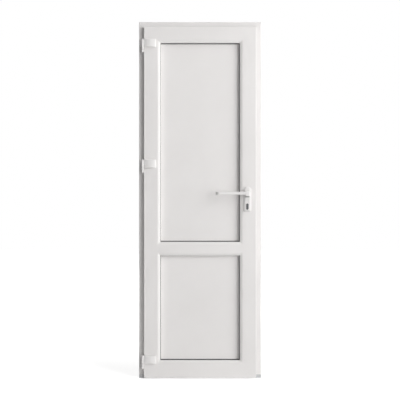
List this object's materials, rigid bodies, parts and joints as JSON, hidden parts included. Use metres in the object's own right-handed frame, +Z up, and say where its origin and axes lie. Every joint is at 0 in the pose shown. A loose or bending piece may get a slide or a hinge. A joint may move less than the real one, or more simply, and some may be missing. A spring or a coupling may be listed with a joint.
{
  "type": "upvc door",
  "caption": "White panelled uPVC door leaf hung in a narrow frame, with flag hinges, lever handles on short plates, a key cylinder and a low metal threshold.",
  "frame": {"origin": "floor level, under the middle of the threshold's width and of the frame's depth", "axes": "+Z up; +X from the hinge jamb to the lock jamb; -Y towards the inside face, into which the leaf opens"},
  "size_m": [0.72, 0.18, 2.1],
  "materials": {
    "frame_upvc": "smooth white uPVC, satin gloss",
    "threshold_aluminium": "satin anodised",
    "sash_upvc": "smooth white uPVC, satin gloss",
    "panel_upvc": "smooth white uPVC sheet, satin gloss",
    "bead_upvc": "smooth white uPVC, satin gloss",
    "gasket_rubber": "matt dark rubber",
    "brush_fibre": "grey pile",
    "hinge_white": "white powder coat",
    "handle_white": "white powder coat",
    "spindle_steel": "zinc-plated steel",
    "lock_steel": "satin steel",
    "cylinder_metal": "dark satin nickel"
  },
  "bodies": {
    "frame": {"frame_hinge_jamb": "frame_upvc", "frame_lock_jamb": "frame_upvc", "frame_head": "frame_upvc", "threshold": "threshold_aluminium", "frame_weather_seal": "gasket_rubber", "frame_keep": "lock_steel", "hinge_top_frame_part": "hinge_white", "hinge_middle_frame_part": "hinge_white", "hinge_bottom_frame_part": "hinge_white"},
    "leaf": {"sash_hinge_stile": "sash_upvc", "sash_lock_stile": "sash_upvc", "sash_top_rail": "sash_upvc", "sash_bottom_rail": "sash_upvc", "sash_mid_rail": "sash_upvc", "upper_panel": "panel_upvc", "lower_panel": "panel_upvc", "upper_bead_left": "bead_upvc", "upper_bead_right": "bead_upvc", "upper_bead_top": "bead_upvc", "upper_bead_bottom": "bead_upvc", "lower_bead_left": "bead_upvc", "lower_bead_right": "bead_upvc", "lower_bead_top": "bead_upvc", "lower_bead_bottom": "bead_upvc", "upper_inner_gasket": "gasket_rubber", "upper_outer_gasket": "gasket_rubber", "lower_inner_gasket": "gasket_rubber", "lower_outer_gasket": "gasket_rubber", "leaf_weather_seal": "gasket_rubber", "bottom_brush": "brush_fibre", "hinge_top_sash_part": "hinge_white", "hinge_middle_sash_part": "hinge_white", "hinge_bottom_sash_part": "hinge_white", "inside_handle_plate": "handle_white", "outside_handle_plate": "handle_white", "lock_faceplate": "lock_steel", "latch_bolt": "lock_steel", "dead_bolt": "lock_steel", "key_cylinder": "cylinder_metal"},
    "lever": {"inside_lever": "handle_white", "outside_lever": "handle_white", "spindle": "spindle_steel"}
  },
  "joints": [
    {"name": "leaf_swing", "type": "hinge", "parent": "frame", "child": "leaf", "pos_m": [-0.3375, -0.066, 1], "axis": [0, 0, -1], "range_deg": [0, 110]},
    {"name": "lever_turn", "type": "hinge", "parent": "leaf", "child": "lever", "pos_m": [0.2775, -0.023, 1.089], "axis": [0, -1, 0], "range_deg": [0, 45], "stiffness_Nm_per_rad": 2, "springref_deg": -34.38}
  ]
}
